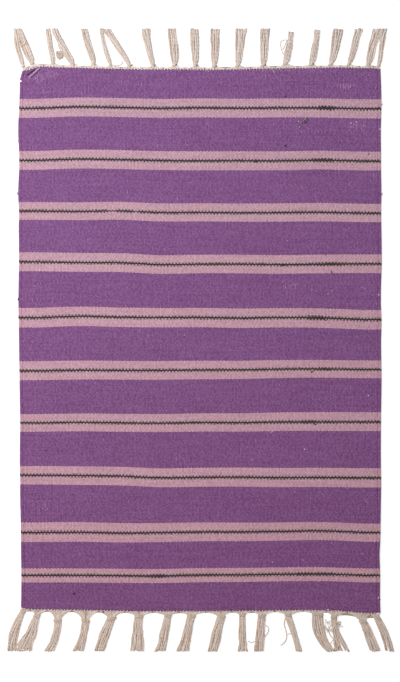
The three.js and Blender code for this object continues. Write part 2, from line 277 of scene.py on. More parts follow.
# Bits of fibre, loops and slubs caught in the weave and along the selvedges.
NEPS = table(
    "x y length turn thickness dye",
    (167, 360.6, 4.5, 60, 2.4, "tan"),
    (171, 364.3, 4.5, 40, 1.8, "grey"),
    (174.5, 366.8, 5, 20, 2.6, "grey"),
    (172.5, 363, 4, 60, 1.4, "olive"),
    (176.5, 365, 4, 75, 1.5, "olive"),
    (174.5, 361.6, 5.5, 30, 1.8, "plum"),
    (163, 363.4, 2.4, 0, 1.5, "cream"),
    (165, 354, 2.4, 0, 1.4, "cream"),
    (167, 335.7, 3, 10, 1.4, "olive"),
    (141, 323, 4, 15, 2, "brown"),
    (141, 405.4, 3.2, 20, 1.5, "brown"),
    (152, 438.6, 4, 70, 1, "olive"),
    (280, 309, 5, 80, 1, "brown"),
    (-210, -420.6, 5, 75, 2.2, "brown"),
    (92.3, 296.5, 5, 5, 1.6, "charcoal"),
    (137, 124, 5, 20, 1.6, "charcoal"),
    (206, 33.5, 6, -40, 1.8, "charcoal"),
    (185.3, -52.5, 5, 40, 1.6, "charcoal"),
    (190, -139.5, 6, -30, 1.8, "charcoal"),
    (208.5, 142.4, 5, 80, 1.6, "purple"),
    (216.8, 113.2, 6, 95, 1.8, "purple"),
    (173, -180.6, 2.6, 0, 1.8, "cream"),
    (279.2, -92, 2.6, 0, 1.8, "cream"),
    (250, 360.6, 2.8, 0, 1.8, "cream"),
    (259, 362.2, 2.2, 0, 1.5, "cream"),
    (211.8, 76.7, 2.4, 0, 1.6, "cream"),
    (118.8, -152.4, 3, 30, 1.5, "cream"),
    (196, -399.7, 2.6, 0, 1.5, "cream"),
    (-161.6, -451, 3.4, 10, 1.8, "red"),
    (211.8, -447, 4, 20, 2, "cream"),
    (-302.5, 332.5, 5, 80, 2, "pink"),
    (-303, 243.5, 4, 90, 1.6, "purple"),
    (-302.5, 68, 4, 90, 1.8, "purple"),
    (-301.5, 38.5, 4, 20, 1.8, "tan"),
    (-299.5, -68, 3, 10, 1.4, "cream"),
    (301, 391, 5, 60, 1.6, "pink"),
    (297.5, 350.6, 3.6, 50, 1.8, "cream"),
    (297.5, 339, 3.4, 20, 1.4, "pink"),
    (301.5, 242.7, 4, 80, 1.8, "pink"),
    (296.5, 75, 3, 30, 1.8, "cream"),
    (296, -428, 3.6, 70, 1.7, "cream"),
    (298, -431, 3, 20, 1.3, "charcoal"),
)
SMALL_NEPS = {"cream": 16, "plum": 10, "tan": 5}
# The head tassels with a painted shadow in the crook of their knot: a dark bit of fibre put where shade
# falls.
SHADOWED_KNOTS = (6, 7, 8, 9, 10, 12, 14)
DYES = {
    "olive": (0.24, 0.20, 0.13),
    "tan": (0.38, 0.28, 0.17),
    "grey": (0.36, 0.27, 0.27),
    "brown": (0.075, 0.04, 0.035),
    "plum": (0.13, 0.05, 0.14),
    "charcoal": (0.047, 0.050, 0.038),
    "purple": (0.28, 0.10, 0.32),
    "pink": (0.62, 0.28, 0.36),
    "cream": (0.92, 0.74, 0.88),
    # A painted shadow colour, for the dark bits in the crooks of the knots.
    "knot_shadow": (0.17, 0.09, 0.06),
    "red": (0.28, 0.04, 0.05),
}

# Where the dark line is thicker, thinner or broken: its band, its reach along X, and how many
# picks are added to it.
LINE_FAULTS = table(
    "band x reach picks",
    (0, 210, 14, 1.1),
    (1, 203, 17, 0.7),
    (2, -146.7, 6.5, -1.9),
    (2, -107, 2.2, -2.4),
    (3, 212, 22, 0.6),
    (4, 190, 13, 0.9),
    (5, 207, 10, 0.7),
    (6, 179, 11, 0.6),
    (9, 190, 30, 0.5),
    (9, -70, 11, 0.7),
)

# Patches where the pale warp shows between the picks.
OPEN_PATCHES = table(
    "x y wide high share",
    (-247, 441, 15, 7, 0.9),
    (-268, 436, 12, 9, 0.7),
    (240, 422, 16, 5.5, 0.8),
    (260, 352, 20, 13, 0.35),
    (150, 91, 22, 8, 0.25),
    (278, 88, 14, 9, 0.2),
    (-272, 89, 12, 9, 0.2),
    (-258, -277, 14, 8, 0.2),
    (283, -262, 13, 12, 0.25),
    (-32, -199, 16, 9, 0.35),
)

OPEN_EDGE = {"x": 75.0, "half": 145.0, "full": 110.0, "share": 0.4}
STRAY_DOTS = {"mottled": 0.035, "anywhere": 0.004}

# The two ends of the rug.
ENDS = {
    "head": {
        "outward": 1, "middles": 487, "tips": 518.5, "rows": HEAD_TASSELS,
        "partings": HEAD_PARTINGS, "loose": HEAD_LOOSE_YARNS, "knot_bulk": 0.8, "knot_shade": 1.0,
        "neck_width": 0.62, "neck_shift": -1.4, "scallop": 5, "web_light": 1.2,
    },
    "foot": {
        "outward": -1, "middles": -488, "tips": -517.5, "rows": FOOT_TASSELS,
        "partings": FOOT_PARTINGS, "loose": FOOT_LOOSE_YARNS, "knot_bulk": 1.0, "knot_shade": 0.6,
        "neck_width": 0.95, "neck_shift": 0, "scallop": 2.1, "web_light": 0.2,
    },
}

# Yarn of the fringe.
WARP_RADIUS = 0.95
STRAND_RADIUS = 1.12
STRAND_ROOM = 1.2
WRAP_TURNS = (-1, 0, 1)
WRAP_STEP = 1.7
YARN_SIDES = 8
YARN_LOBES = 2
YARN_LOBE_DEPTH = 0.13
YARN_TWIST = 13.0
WEB_POINTS = 13
TASSEL_POINTS = 28
WRAP_POINTS = 20
LOOSE_POINTS = 26
WAD_POINTS = 18
NEP_SHAPE = (0.35, 0.8, 1, 1.1, 1, 0.8, 0.35)
BUNDLE = 3
LEVELS = (0.5, 1.0, 0.0)
NECK = 0.09
FULL_TURN = 6.28

# The backing under the gathered warps, round its section, painted darker than the warps as the shade
# between them, and darker still at its outer rim as a painted shadow. out is the share of the way from
# the last pick to its outer edge, and back how far short of that it stays.
SCALLOP_STEPS = 16
WEB_SECTION = table(
    "out back height tone rise",
    (0, 0, 0.05, 1.2, -0.6),
    (0, 0, 0.8, 1.2, -0.6),
    (0.5, 0, 1.0, 1.2, -0.6),
    (1, 1.5, 0.9, 1.1, -0.6),
    (1, 0.4, 0.8, 1.3, -0.8),
    (1, 0, 0.5, 1.3, -0.8),
    (1, 0.4, 0.05, 1.3, -0.8),
)


# Interpolation

def eased(places, values, at):
    """Values between rows of a table, on a smooth curve through them."""
    places, values = np.asarray(places, float), np.asarray(values, float)
    order = np.argsort(places)
    places, values = places[order], values[order]
    slopes = np.gradient(values, places)
    at = np.clip(at, places[0], places[-1])
    i = np.clip(np.searchsorted(places, at) - 1, 0, len(places) - 2)
    span = places[i + 1] - places[i]
    t = (at - places[i]) / span
    near, far = values[i], values[i + 1]
    return (
        near * (1 + 2 * t) * (1 - t) ** 2
        + far * t * t * (3 - 2 * t)
        + span * slopes[i] * t * (1 - t) ** 2
        - span * slopes[i + 1] * t * t * (1 - t)
    )


def column(rows, name):
    return [row[name] for row in rows]


def selvedge(side, y):
    return eased(column(SELVEDGES, "y"), column(SELVEDGES, side), y)


def last_pick(end, x):
    return np.interp(x, column(LAST_PICKS, "x"), column(LAST_PICKS, end))


def band_line(band, x):
    return eased(STATIONS, band["line"], x)


def pick_numbers():
    """The pick at each band's dark line, counted from the head. Each is odd and a half, so that
    the two dark picks begin on an even one."""
    numbers, above = [], np.mean(last_pick("head", STATIONS))
    count = 0.0
    for band in BANDS:
        middle = np.mean(band["line"])
        count += (above - middle - np.mean(band["above"])) / PICK + band["picks"]
        numbers.append(2 * round((count - 1.5) / 2) + 1.5)
        count, above = numbers[-1] + band["picks"], middle - np.mean(band["below"])
    return numbers


LINE_PICKS = pick_numbers()
LAST_BAND = BANDS[-1]
LAST_STRIPE_END = np.mean(LAST_BAND["line"]) - np.mean(LAST_BAND["below"])
MEAN_LAST_PICK = -449.6
LAST_STRETCH = (LAST_STRIPE_END - MEAN_LAST_PICK) / PICK
FOOT_PICK = 2 * round((LINE_PICKS[-1] + LAST_BAND["picks"] + LAST_STRETCH) / 2)


def pick_at(x, y):
    """Which pick lies at a place on the cloth: the picks follow the waves of the bands."""
    lines, picks = [last_pick("head", x)], [0.0]
    for band, number in zip(BANDS, LINE_PICKS):
        line = band_line(band, x)
        lines.append(line + np.interp(x, WIDTH_STATIONS, band["above"]))
        lines.append(line)
        lines.append(line - np.interp(x, WIDTH_STATIONS, band["below"]))
        picks += [number - band["picks"], number, number + band["picks"]]
    lines.append(last_pick("foot", x))
    picks.append(FOOT_PICK)
    result = picks[0] + (lines[0] - y) / PICK
    for i in range(len(picks) - 1):
        way = (lines[i] - y) / (lines[i] - lines[i + 1])
        inside = way >= 0
        result = np.where(inside, picks[i] + way * (picks[i + 1] - picks[i]), result)
    return result


# Meshes

def ring_quads(rings, sides, closed=False):
    """Faces between rings of points that follow each other."""
    r = np.arange(rings if closed else rings - 1)[:, None]
    s = np.arange(sides)[None, :]
    following, beside = (r + 1) % rings, (s + 1) % sides
    corners = [(r, s), (following, s), (following, beside), (r, beside)]
    return np.stack([ring * sides + side for ring, side in corners], -1).reshape(-1, 4)


def ring_map(along, sides):
    """Where the corners of these faces lie: round their ring, and along the rings."""
    r = np.arange(len(along) - 1)[:, None]
    s = np.arange(sides)[None, :]
    u = np.stack([s, s, s + 1, s + 1], -1) / sides + 0.0 * r[:, :, None]
    v = np.stack([along[r], along[r + 1], along[r + 1], along[r]], -1) + 0.0 * s[:, :, None]
    return u.reshape(-1, 4), v.reshape(-1, 4)


def face_corners(faces):
    """The points at the corners of all faces in turn, and how many corners each face has."""
    corners = np.concatenate([part.ravel() for part in faces]).astype(np.int32)
    return corners, np.concatenate([np.full(len(part), part.shape[1]) for part in faces])


def show(name, data):
    """A new object in the scene, made of a mesh, a camera or a light."""
    thing = bpy.data.objects.new(name, data)
    bpy.context.scene.collection.objects.link(thing)
    return thing


def fill_mesh(name, points, faces, maps, looks=()):
    """An object from points in millimetres and lists of faces. maps holds the UV corners by
    name, and looks holds a value or a colour for every point, by name."""
    mesh = bpy.data.meshes.new(name)
    corners, sizes = face_corners(faces)
    mesh.vertices.add(len(points))
    mesh.vertices.foreach_set("co", (np.asarray(points) * MM).ravel())
    mesh.loops.add(len(corners))
    mesh.loops.foreach_set("vertex_index", corners)
    mesh.polygons.add(len(sizes))
    starts = np.concatenate([[0], np.cumsum(sizes)[:-1]]).astype(np.int32)
    mesh.polygons.foreach_set("loop_start", starts)
    mesh.polygons.foreach_set("use_smooth", np.ones(len(sizes), bool))
    for label, places in maps.items():
        mesh.uv_layers.new(name=label).data.foreach_set("uv", places.astype(np.float32).ravel())
    for label, values in dict(looks).items():
        values = np.asarray(values, np.float32)
        if values.ndim == 1:
            mesh.attributes.new(label, "FLOAT", "POINT").data.foreach_set("value", values)
        else:
            opaque = np.column_stack([values, np.ones(len(values), np.float32)])
            mesh.attributes.new(label, "FLOAT_COLOR", "POINT").data.foreach_set("color", opaque.ravel())
    mesh.update(calc_edges=True)
    mesh.validate()
    return show(name, mesh)


# The cloth

def cloth_rows():
    """How far along the rug each row of points lies: close near the ends, wide between."""
    head = [HEAD_END, 449.2, 447, 445, 443, 441, 439, 437, 435, 433, 431.8, 430.2, 429, 427]
    middle = list(np.linspace(425, -436, 74))
    foot = [-440, -444, -447, -449.2, FOOT_END]
    return np.array(head + middle + foot)


def rib_height(share):
    return VALLEY + (CREST - VALLEY) * np.sin(np.pi * share) ** 0.8


def crease_frame(x, y):
    """A place in the crease's own directions: along it and across it."""
    turn = math.radians(CREASE["turn"])
    along = (x - CREASE["x"]) * math.cos(turn) + (y - CREASE["y"]) * math.sin(turn)
    across = (y - CREASE["y"]) * math.cos(turn) - (x - CREASE["x"]) * math.sin(turn)
    return along, across


def cloth_grid(ribs, stations):
    """Places on the cloth for the warps in ribs and the rows in stations, seen from above."""
    head = eased([BENT_TO - BENT_STRETCH, BENT_TO], [0, 1], stations)
    foot = eased([-BENT_TO, BENT_STRETCH - BENT_TO], [1, 0], stations)
    left = selvedge("left", stations)
    right = selvedge("right", stations)
    x = left[:, None] + (right - left)[:, None] * ribs[None, :] / RIBS
    pit = NOTCH["depth"] * np.exp(-((stations - NOTCH["y"]) / NOTCH["half"]) ** 4)
    x += pit[:, None] * np.clip(1 - ribs / NOTCH["ribs"], 0, 1)
    y = stations[:, None] + np.zeros_like(x)
    y = y + head[:, None] * (last_pick("head", x) - HEAD_END)
    return x, y + foot[:, None] * (last_pick("foot", x) - FOOT_END)


def tooth(ribs):
    """How far the last pick reaches out over each odd warp."""
    odd = np.floor(ribs) % 2
    share = ribs % 1
    return np.where(odd == 1, 1.0, -0.25) * np.sin(np.pi * share) * END_TOOTH


def cloth_points():
    """Points round every row: the ribbed top from left to right, the right edge, the flat
    underside from right to left, and the left edge."""
    stations = cloth_rows()
    ribs = np.arange(RIBS * COLUMNS_PER_RIB + 1) / COLUMNS_PER_RIB
    x, y = cloth_grid(ribs, stations)
    z = rib_height(ribs % 1)[None, :] + np.zeros_like(x)
    for groove in GROOVES:
        z -= GROOVE_DEPTH * np.exp(-((ribs - groove) / GROOVE_HALF) ** 2)[None, :]
    # The last pick is rounded down toward the floor, and so are the outermost ribs.
    for edge, beside, outward in ((0, 1, 1), (-1, -2, -1)):
        y[edge] += outward * tooth(ribs)
        y[beside] += outward * 0.5 * tooth(ribs)
        z[edge] = EDGE_TOP
        z[beside] = 0.5 * (z[beside] + EDGE_TOP) + 0.35
    z[:, [0, -1]] = EDGE_TOP
    z[:, [1, -2]] -= 0.25
    along, across = crease_frame(x, y)
    for fold in FOLDS:
        reach = np.clip((along - fold["from"]) / 3, 0, 1) * np.clip((fold["to"] - along) / 3, 0, 1)
        off = across - fold["side"] - fold["lean"] * along
        z += fold["height"] * reach * np.exp(-(off / (1.3 * fold["half"])) ** 2)
    top = np.stack([x, y, z], -1)
    under = top[:, ::-UNDERSIDE_STEP].copy()
    under[:, :, 2] = 0
    under[:, 0, 0] -= UNDERSIDE_INSET[0]
    under[:, -1, 0] += UNDERSIDE_INSET[0]
    under[0, :, 1] -= UNDERSIDE_INSET[1]
    under[-1, :, 1] += UNDERSIDE_INSET[1]
    right, left = top[:, -1:].copy(), top[:, :1].copy()
    right[:, :, 2] = left[:, :, 2] = EDGE_MIDDLE
    return np.concatenate([top, right, under, left], 1)


def end_strip(ring, columns):
    """Triangles that close an end, between the top's points and the underside's fewer ones."""
    top, right, under, left = ring[:columns], ring[columns], ring[columns + 1:-1][::-1], ring[-1]
    half = UNDERSIDE_STEP // 2
    faces = [(left, top[0], under[0]), (top[-1], right, under[-1])]
    for j in range(len(under) - 1):
        edge = top[j * UNDERSIDE_STEP:(j + 1) * UNDERSIDE_STEP + 1]
        faces += [(edge[i], edge[i + 1], under[j]) for i in range(half)]
        faces.append((edge[half], under[j + 1], under[j]))
        faces += [(edge[i], edge[i + 1], under[j + 1]) for i in range(half, UNDERSIDE_STEP)]
    return np.array(faces)


def cloth_object():
    grid = cloth_points()
    rows, around = grid.shape[:2]
    columns = RIBS * COLUMNS_PER_RIB + 1
    index = np.arange(rows * around).reshape(rows, around)
    head, foot = end_strip(index[0], columns), end_strip(index[-1], columns)[:, ::-1]
    on_top = np.zeros((rows - 1, around), bool)
    on_top[:, :columns - 1] = True
    above = np.concatenate([on_top.ravel(), np.zeros(len(head) + len(foot), bool)])
    points = grid.reshape(-1, 3)
    x, y = points[:, 0], points[:, 1]
    left, right = selvedge("left", y), selvedge("right", y)
    weave = np.stack([(x - left) / (right - left) * RIBS, pick_at(x, y)], -1)
    place = np.stack([0.5 + y / ATLAS_LENGTH, 0.5 + x / ATLAS_WIDTH], -1)

    faces = [ring_quads(rows, around), head, foot]
    corners, sizes = face_corners(faces)
    # In the atlas the top fills most of the square, and all that faces down or out the rest.
    across = place[corners, 1]
    share = np.where(np.repeat(above, sizes), across * 0.8, 0.81 + across * 0.18)
    atlas = np.stack([place[corners, 0], share], -1)
    return fill_mesh("rug_cloth", points, faces, {"weave": weave[corners], "OFBake": atlas})


# The fringe

def web_depth(end, x):
    """How far the gathered warps reach out from the last pick: deepest at the knots."""
    rows = ENDS[end]["rows"]
    knots = np.array(column(rows, "knot"))
    i = int(np.clip(np.searchsorted(knots, x) - 1, 0, len(knots) - 2))
    way = float(np.clip((x - knots[i]) / (knots[i + 1] - knots[i]), 0, 1))
    drop = rows[i]["drop"] + (rows[i + 1]["drop"] - rows[i]["drop"]) * way
    pull = abs(2 * way - 1) ** ENDS[end]["scallop"]
    return rows[i]["arch"] + (drop - rows[i]["arch"]) * pull


def knot_y(end, tassel):
    return float(last_pick(end, tassel["knot"])) + ENDS[end]["outward"] * tassel["drop"]


def through_three(start, middle, tip, t):
    """A smooth curve through three values at 0, a half and 1."""
    return start * (1 - t) * (1 - 2 * t) + middle * 4 * t * (1 - t) + tip * t * (2 * t - 1)


def smooth_steps(count, rng, knots=5):
    """A smooth random walk from -1 to 1, sampled at count places."""
    values = [rng.uniform(-1, 1) for _ in range(knots)]
    return eased(np.linspace(0, 1, knots), values, np.linspace(0, 1, count))


def warps_of(end):
    """The warps that each tassel gathers: their number and their place across."""
    ribs = np.arange(RIBS) + 0.5
    y = FRINGE_START * ENDS[end]["outward"]
    left, right = selvedge("left", y), selvedge("right", y)
    places = left + (right - left) * ribs / RIBS
    knots = np.array(column(ENDS[end]["rows"], "knot"))
    nearest = np.abs(places[:, None] - knots[None, :]).argmin(1)
    return [[(int(w), places[w]) for w in np.where(nearest == t)[0]] for t in range(len(knots))]


def web_path(end, tassel, warp, place, rank, count, rng):
    """A warp end: out of the last pick and sideways into its knot."""
    side = ENDS[end]["outward"]
    across = -1 + 2 * (rank + 0.5) / count
    edge = float(last_pick(end, place))
    over = warp % 2 == 0
    distance = tassel["knot"] - place
    enter = np.array([tassel["knot"] + across * tassel["grip"] * 0.36, knot_y(end, tassel)])
    start = np.array([place, edge - side * (1.0 if over else 0.2)])
    out = np.array([place + distance * 0.03, edge + side * 1.1])
    bends = []
    for way, reach in ((0.2, 0.5), (0.65, 0.68)):
        x = place + distance * way
        depth = web_depth(end, x) * (reach + rng.uniform(-0.12, 0.12))
        bends.append(np.array([x, float(last_pick(end, x)) + side * depth]))
    t = np.linspace(0, 1, WEB_POINTS - 2)[:, None]
    curve = (
        out * (1 - t) ** 3 + bends[0] * 3 * t * (1 - t) ** 2
        + bends[1] * 3 * t * t * (1 - t) + enter * t ** 3
    )
    web = np.concatenate([[start], [0.5 * (start + out)], curve])
    z = 1.25 + rng.uniform(0, 1.5) * np.linspace(0, 1, len(web)) ** 0.7
    z[:3] = (2.7, 2.2, 1.6) if over else (1.2, 1.5, 1.5)
    return np.column_stack([web, z])


def strand_path(end, tassel, across, level, rng, bundle, partings):
    """A warp end that runs down the tassel with its bundle, from the knot to the tip."""
    side = ENDS[end]["outward"]
    s = np.linspace(-0.02, 1 - bundle.uniform(0, 0.03) - rng.uniform(0, 0.01), TASSEL_POINTS)
    # The lowest strands keep their places, under the gaps that the bundles leave.
    together, alone = 0.28 if level > 0 else 0.05, 0.08
    wander = smooth_steps(TASSEL_POINTS, bundle) * together + smooth_steps(TASSEL_POINTS, rng) * alone
    wander *= np.clip(s, 0, 1) ** 0.7
    shares = np.clip(across + wander, -1.05, 1.05)
    x = through_three(tassel["knot"], tassel["middle"], tassel["tip"], s)
    width = through_three(tassel["grip"], tassel["belly"], tassel["fan"], s)
    neck = np.exp(-(s / NECK) ** 2)
    width *= 1 - (1 - ENDS[end]["neck_width"]) * neck
    x += ENDS[end]["neck_shift"] * neck
    x += shares * np.maximum(width / 2 - 0.75 * STRAND_RADIUS, 0.6)
    for parting in partings:
        opening = np.clip((s - parting["start"]) / (1 - parting["start"]), 0, 1) ** 0.8
        x += np.sign(across - parting["at"]) * opening * parting["width"] / 2
    x += smooth_steps(TASSEL_POINTS, rng, 10) * 0.55 * np.clip(s, 0, 1)
    y = through_three(knot_y(end, tassel), ENDS[end]["middles"], ENDS[end]["tips"], s)
    y -= side * tassel["short"] * s
    rise = (0.8 + 1.0 * np.clip(s * 4, 0, 1)) * (1 - 0.6 * np.clip(shares, -1, 1) ** 2)
    lowest = STRAND_RADIUS * 1.15
    z = lowest + level * rise + 0.3 * smooth_steps(TASSEL_POINTS, rng, 8)
    return np.column_stack([x, y, np.maximum(z, lowest)])


def tube(path, radius, phase, closed=False):
    """Rings of points round a path, two-lobed like a plied yarn that turns along its length."""
    steps = np.roll(path, -1, 0) - np.roll(path, 1, 0)
    if not closed:
        steps[0] = path[1] - path[0]
        steps[-1] = path[-1] - path[-2]
    tangent = steps / np.linalg.norm(steps, axis=1)[:, None]
    lengths = np.linalg.norm(np.diff(path, axis=0), axis=1)
    along = np.concatenate([[0], np.cumsum(lengths)])
    up = path - path.mean(0) if closed else np.array([0, 0, 1.0]) + 0 * tangent
    aside = np.cross(tangent, up)
    aside /= np.linalg.norm(aside, axis=1)[:, None]
    up = np.cross(aside, tangent)
    angles = 2 * np.pi * np.arange(YARN_SIDES) / YARN_SIDES
    turn = phase + 2 * np.pi * along / YARN_TWIST
    swell = 1 + YARN_LOBE_DEPTH * np.cos(YARN_LOBES * (angles[None, :] - turn[:, None]))
    size = radius[:, None] * swell
    ring = (
        path[:, None, :]
        + (size * np.cos(angles))[:, :, None] * aside[:, None, :]
        + (size * np.sin(angles))[:, :, None] * up[:, None, :]
    )
    return ring, along


class Yarns:
    """Tubes gathered into one mesh, each with its own column in the atlas."""

    def __init__(self, expected, rows):
        self.points, self.faces, self.fibre, self.atlas = [], [], [], []
        self.looks = {}
        self.count, self.made = 0, 0
        self.rows = rows
        self.per_row = math.ceil(expected / rows)

    def add(self, path, radius, phase, closed=False, **looks):
        ring, along = tube(path, radius, phase, closed)
        rings, sides = ring.shape[:2]
        quads = ring_quads(rings, sides, closed)
        far = np.append(along, 2 * along[-1] - along[-2])
        u, v = ring_map(far if closed else along, sides)
        if not closed:
            caps = np.array([(0, 1, 2, 3), (0, 3, 4, 7), (4, 5, 6, 7)])
            far_caps = caps[:, ::-1]
            quads = np.concatenate([quads, caps, far_caps + (rings - 1) * sides])
            u = np.concatenate([u, caps / sides, far_caps / sides])
            v = np.concatenate([v, np.repeat([[0.0] * 4, [along[-1]] * 4], len(caps), axis=0)])
        row, place = divmod(self.made, self.per_row)
        wide, high = 1 / self.per_row, 1 / self.rows
        bake_u = (place + 0.06 + 0.88 * u) * wide
        bake_v = (row + 0.01 + 0.98 * v / v.max()) * high
        self.points.append(ring.reshape(-1, 3))
        self.faces.append(quads + self.count)
        self.fibre.append(np.stack([u, v], -1))
        self.atlas.append(np.stack([bake_u, bake_v], -1))
        for name, value in looks.items():
            value = np.asarray(value, float)
            along_it = value.shape == (rings,)
            spread = np.repeat(value, sides)[:, None] if along_it else np.tile(value, (rings * sides, 1))
            self.looks.setdefault(name, []).append(spread)
        self.count += rings * sides
        self.made += 1

    def object(self, name):
        points = np.concatenate(self.points)
        points[:, 2] = np.maximum(points[:, 2], 0.02)
        maps = {
            "fibre": np.concatenate(self.fibre).reshape(-1, 2),
            "OFBake": np.concatenate(self.atlas).reshape(-1, 2),
        }
        looks = {label: np.squeeze(np.concatenate(values)) for label, values in self.looks.items()}
        return fill_mesh(name, points, [np.concatenate(self.faces)], maps, looks)


def taper(count, size, rng):
    """A yarn's radius along its length, thinner at its tip."""
    radius = size * (1 + 0.12 * smooth_steps(count, rng, 7))
    radius[-1] *= 0.7
    return radius


def smooth_path(places, height, count):
    """A loose yarn's path through a few places on the floor."""
    places = np.array(places, float)
    steps = np.linalg.norm(np.diff(places, axis=0), axis=1)
    along = np.concatenate([[0], np.cumsum(steps)])
    at = np.linspace(0, along[-1], count)
    z = height + 0.6 * np.sin(np.linspace(0, 5, count)) ** 2
    return np.column_stack([eased(along, places[:, 0], at), eased(along, places[:, 1], at), z])


def wad_path(wad, rng):
    """One curled yarn of a tangle."""
    places = []
    for _ in range(5):
        angle, reach = rng.uniform(0, FULL_TURN), rng.uniform(0.3, 1) / 2
        places.append((
            wad["x"] + wad["wide"] * reach * math.cos(angle),
            wad["y"] + wad["high"] * reach * math.sin(angle),
        ))
    return smooth_path(places, wad["height"] * rng.uniform(0.8, 2), WAD_POINTS)


def fringe_yarns(end):
    rng = random.Random(f"{end} yarns")
    groups = warps_of(end)
    rows = ENDS[end]["rows"]
    counts = [
        max(len(warps), round(max(row["belly"], 0.75 * row["fan"]) / STRAND_ROOM))
        for warps, row in zip(groups, rows)
    ]
    loose = ENDS[end]["loose"]
    wads = [wad for wad in WADS if wad["end"] == end]
    yarns = Yarns(RIBS + sum(counts) + len(loose) + sum(column(wads, "yarns")), 4)
    for number, (tassel, warps, count) in enumerate(zip(rows, groups, counts)):
        for rank, (warp, place) in enumerate(warps):
            path = web_path(end, tassel, warp, place, rank, len(warps), rng)
            radius = np.full(len(path), WARP_RADIUS * rng.uniform(0.9, 1.1))
            # Painted light: rise sets how brightly a warp is painted, and web_light paints the head's
            # warps lighter than the foot's.
            tone, rise = rng.uniform(0, 1) ** 2, rng.uniform(0.2, 1) + ENDS[end]["web_light"]
            # Painted light: the warps are painted lighter where they come out of the last pick.
            rise = rise + 1.6 * np.clip(1 - np.arange(len(path)) / 4, 0, 1)
            yarns.add(path, radius, rng.uniform(0, FULL_TURN), tone=tone, rise=rise)
        partings = [p for p in ENDS[end]["partings"] if p["tassel"] == number]
        for rank in range(count):
            across = -1 + 2 * rank / (count - 1)
            # A strand's level sets its height, and as its rise it also paints the lower strands darker:
            # painted shade between the bundles.
            level = LEVELS[rank % BUNDLE]
            bundle = random.Random(f"{end} {number} {rank // BUNDLE}")
            path = strand_path(end, tassel, across, level, rng, bundle, partings)
            radius = taper(len(path), STRAND_RADIUS, rng)
            # Painted shade: the strands on the right of each tassel are painted darker near its knot.
            near_knot = np.clip(1 - np.linspace(0, 1, len(path)) / 0.16, 0, 1)
            painted_knot_shade = max(across - 0.1, 0) * near_knot * ENDS[end]["knot_shade"]
            # Painted shade and light: the strands on a tassel's left are painted darker, and those on
            # its right lighter.
            tone = 0.6 * bundle.uniform(0, 0.9) + 0.4 * rng.uniform(0, 0.9) - 0.45 * across
            tone = max(tone, 0)
            yarns.add(path, radius, rng.uniform(0, FULL_TURN), tone=tone + painted_knot_shade, rise=level - 2 * painted_knot_shade)
    for row in loose:
        path = smooth_path(row["places"], row["height"], LOOSE_POINTS)
        radius = taper(len(path), WARP_RADIUS * row["thickness"], rng)
        yarns.add(path, radius, rng.uniform(0, FULL_TURN), tone=rng.uniform(0, 1), rise=1.0)
    for wad in wads:
        for _ in range(wad["yarns"]):
            path = wad_path(wad, rng)
            radius = taper(len(path), WARP_RADIUS * wad["thickness"], rng)
            phase, rise = rng.uniform(0, FULL_TURN), rng.uniform(0, 0.6)
            yarns.add(path, radius, phase, tone=wad["tone"], rise=rise)
    return yarns.object(f"fringe_{end}_yarns")


def fringe_knots(end):
    rng = random.Random(f"{end} knots")
    side = ENDS[end]["outward"]
    bulk = ENDS[end]["knot_bulk"]
    rows = ENDS[end]["rows"]
    wraps = Yarns(len(WRAP_TURNS) * len(rows), 1)
    for tassel in rows:
        y = knot_y(end, tassel)
        slant = rng.choice((-1, 1)) * rng.uniform(0.5, 1.3)
        for k in WRAP_TURNS:
            angle = np.linspace(0, 2 * np.pi, WRAP_POINTS, endpoint=False)
            wide = tassel["grip"] / 2 * ENDS[end]["neck_width"] + 0.4 - 0.6 * abs(k)
            high = 1.75 * bulk - 0.25 * abs(k)
            path = np.column_stack([
                tassel["knot"] + ENDS[end]["neck_shift"] + wide * np.cos(angle),
                y + side * (k * WRAP_STEP * bulk + 0.4) + slant * np.cos(angle),
                0.9 + high + high * np.sin(angle),
            ])
            radius = np.full(WRAP_POINTS, WARP_RADIUS) * rng.uniform(0.9, 1.1)
            # Painted shade: the wrap nearest the cloth is painted darkest and the outer one palest.
            wraps.add(path, radius, rng.uniform(0, FULL_TURN), closed=True, tone=0.6 - 0.3 * k, rise=0.6)
    return wraps.object(f"fringe_{end}_knots")


def neps():
    """Bits of fibre, loops and slubs caught in the weave and along the selvedges, and dark bits of
    painted shadow in the crooks of the knots.
    """
    rng = random.Random("neps")
    rows = list(NEPS)
    for dye, count in SMALL_NEPS.items():
        for _ in range(count):
            rows.append({
                "x": rng.uniform(-285, 285), "y": rng.uniform(-435, 435), "length": 2,
                "turn": rng.uniform(0, 180), "thickness": rng.uniform(0.9, 1.3), "dye": dye,
            })
    # Painted shadow: a dark bit of fibre in the crook of each of these knots.
    for number in SHADOWED_KNOTS:
        knot = HEAD_TASSELS[number]
        rows.append({
            "x": knot["knot"] + 2.6, "y": knot_y("head", knot) + 1.2,
            "z": 3.2, "length": 3.6, "turn": rng.uniform(30, 80), "thickness": 1.5, "dye": "knot_shadow",
        })
    bits = Yarns(len(rows), 1)
    for row in rows:
        way = np.linspace(-0.5, 0.5, len(NEP_SHAPE))
        length, thickness = row["length"], row["thickness"]
        bow = (0.25 - way ** 2) * length * rng.uniform(-0.8, 0.8)
        angle = math.radians(row["turn"])
        height = row.get("z", 3 if abs(row["x"]) < 294 else 1.9)
        path = np.column_stack([
            row["x"] + way * length * math.cos(angle) - bow * math.sin(angle),
            row["y"] + way * length * math.sin(angle) + bow * math.cos(angle),
            height + 0.5 * thickness * (1 - 4 * way ** 2),
        ])
        radius = thickness / 2 * np.array(NEP_SHAPE)
        bits.add(path, radius, rng.uniform(0, FULL_TURN), dye=DYES[row["dye"]])
    return bits.object("neps")


